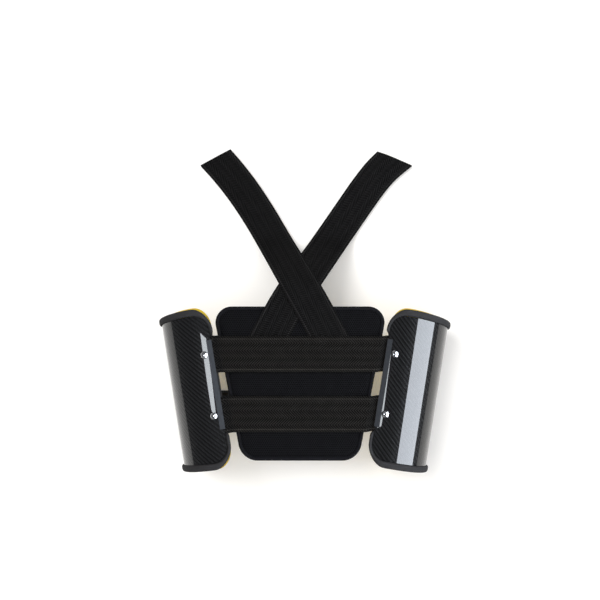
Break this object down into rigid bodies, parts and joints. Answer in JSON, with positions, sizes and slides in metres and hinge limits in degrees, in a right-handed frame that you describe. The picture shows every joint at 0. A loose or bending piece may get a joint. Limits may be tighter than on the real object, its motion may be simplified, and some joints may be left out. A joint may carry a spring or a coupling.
{
  "type": "rib protector vest",
  "caption": "Wrap-round rib protector vest with curved composite side shells on a padded mesh back panel, crossed shoulder straps and front closing belts.",
  "frame": {"origin": "middle of the vest, on the surface it lies on, front side down", "axes": "+Z away from the back of the wearer, +Y towards the head, +X to the right side of the wearer"},
  "size_m": [0.5024, 0.5684, 0.1394],
  "materials": {
    "spacer_mesh": "black honeycomb spacer mesh",
    "foam": "closed-cell foam",
    "inner_lining": "smooth knitted lining",
    "binding_tape": "folded woven tape",
    "woven_elastic": "ribbed woven elastic",
    "strap_elastic": "ribbed woven elastic",
    "belt_elastic": "ribbed woven elastic",
    "hook_tape": "hook tape",
    "loop_fabric": "brushed loop fabric",
    "carbon_composite": "lacquered twill composite",
    "edge_trim": "satin trim",
    "aluminium_strip": "satin strip",
    "rivet_metal": "bright domed rivets",
    "rim_fabric": "fabric-covered foam edge",
    "yellow_lining": "bright yellow lining"
  },
  "bodies": {
    "back_panel": {"panel_mesh": "spacer_mesh", "panel_foam": "foam", "panel_lining": "inner_lining", "panel_binding": "binding_tape", "upper_band": "woven_elastic", "upper_band_flex_left": "woven_elastic", "upper_band_flex_right": "woven_elastic", "lower_band": "woven_elastic", "lower_band_flex_left": "woven_elastic", "lower_band_flex_right": "woven_elastic", "strap_base_left": "strap_elastic", "strap_base_right": "strap_elastic"},
    "shell_left": {"carbon_shell_left": "carbon_composite", "edge_bar_left": "edge_trim", "backing_strip_left": "aluminium_strip", "foam_pad_left": "foam", "soft_rim_left": "rim_fabric", "body_lining_left": "yellow_lining", "rivets_left": "rivet_metal", "rivet_washers_left": "rivet_metal", "upper_band_end_left": "woven_elastic", "lower_band_end_left": "woven_elastic", "strap_loop_patch_left": "loop_fabric"},
    "shell_right": {"carbon_shell_right": "carbon_composite", "edge_bar_right": "edge_trim", "backing_strip_right": "aluminium_strip", "foam_pad_right": "foam", "soft_rim_right": "rim_fabric", "body_lining_right": "yellow_lining", "rivets_right": "rivet_metal", "rivet_washers_right": "rivet_metal", "upper_band_end_right": "woven_elastic", "lower_band_end_right": "woven_elastic", "strap_loop_patch_right": "loop_fabric", "belt_loop_patches_right": "loop_fabric"},
    "strap_left": {"strap_run_left": "strap_elastic"},
    "strap_right": {"strap_run_right": "strap_elastic"},
    "strap_end_left": {"strap_front_left": "strap_elastic", "strap_hook_tab_left": "hook_tape"},
    "strap_end_right": {"strap_front_right": "strap_elastic", "strap_hook_tab_right": "hook_tape"},
    "belt_upper": {"upper_belt": "belt_elastic", "upper_belt_hook_tab": "hook_tape"},
    "belt_lower": {"lower_belt": "belt_elastic", "lower_belt_hook_tab": "hook_tape"}
  },
  "joints": [
    {"name": "shell_left_fold", "type": "hinge", "parent": "back_panel", "child": "shell_left", "pos_m": [-0.14426, -0.124, 0.12932], "axis": [-0.1564, 0.9877, 0], "range_deg": [-10, 50], "deforming": ["upper_band_flex_left", "lower_band_flex_left"]},
    {"name": "shell_right_fold", "type": "hinge", "parent": "back_panel", "child": "shell_right", "pos_m": [0.12745, -0.124, 0.10931], "axis": [-0.1564, -0.9877, 0], "range_deg": [-26, 34], "deforming": ["upper_band_flex_right", "lower_band_flex_right"]},
    {"name": "strap_left_swing", "type": "hinge", "parent": "back_panel", "child": "strap_left", "pos_m": [-0.00966, 0.00715, 0.11306], "axis": [1, 0, 0], "range_deg": [-15, 70]},
    {"name": "strap_right_swing", "type": "hinge", "parent": "back_panel", "child": "strap_right", "pos_m": [-0.00966, 0.00715, 0.11306], "axis": [1, 0, 0], "range_deg": [-15, 70]},
    {"name": "strap_left_unfold", "type": "hinge", "parent": "strap_left", "child": "strap_end_left", "pos_m": [-0.16028, 0.26945, 0.0057], "axis": [0.8788, 0.4772, 0], "range_deg": [0, 175]},
    {"name": "strap_right_unfold", "type": "hinge", "parent": "strap_right", "child": "strap_end_right", "pos_m": [0.16071, 0.26941, 0.0044], "axis": [0.9164, -0.4003, 0], "range_deg": [0, 175]},
    {"name": "belt_upper_swing", "type": "hinge", "parent": "shell_left", "child": "belt_upper", "pos_m": [-0.19561, -0.07435, 0.0033], "axis": [0, -1, 0], "range_deg": [-90, 8]},
    {"name": "belt_lower_swing", "type": "hinge", "parent": "shell_left", "child": "belt_lower", "pos_m": [-0.17993, -0.17335, 0.0033], "axis": [0, -1, 0], "range_deg": [-90, 8]}
  ],
  "couplings": [
    {"joint": "strap_right_swing", "follows": "strap_left_swing", "ratio": 1}
  ]
}
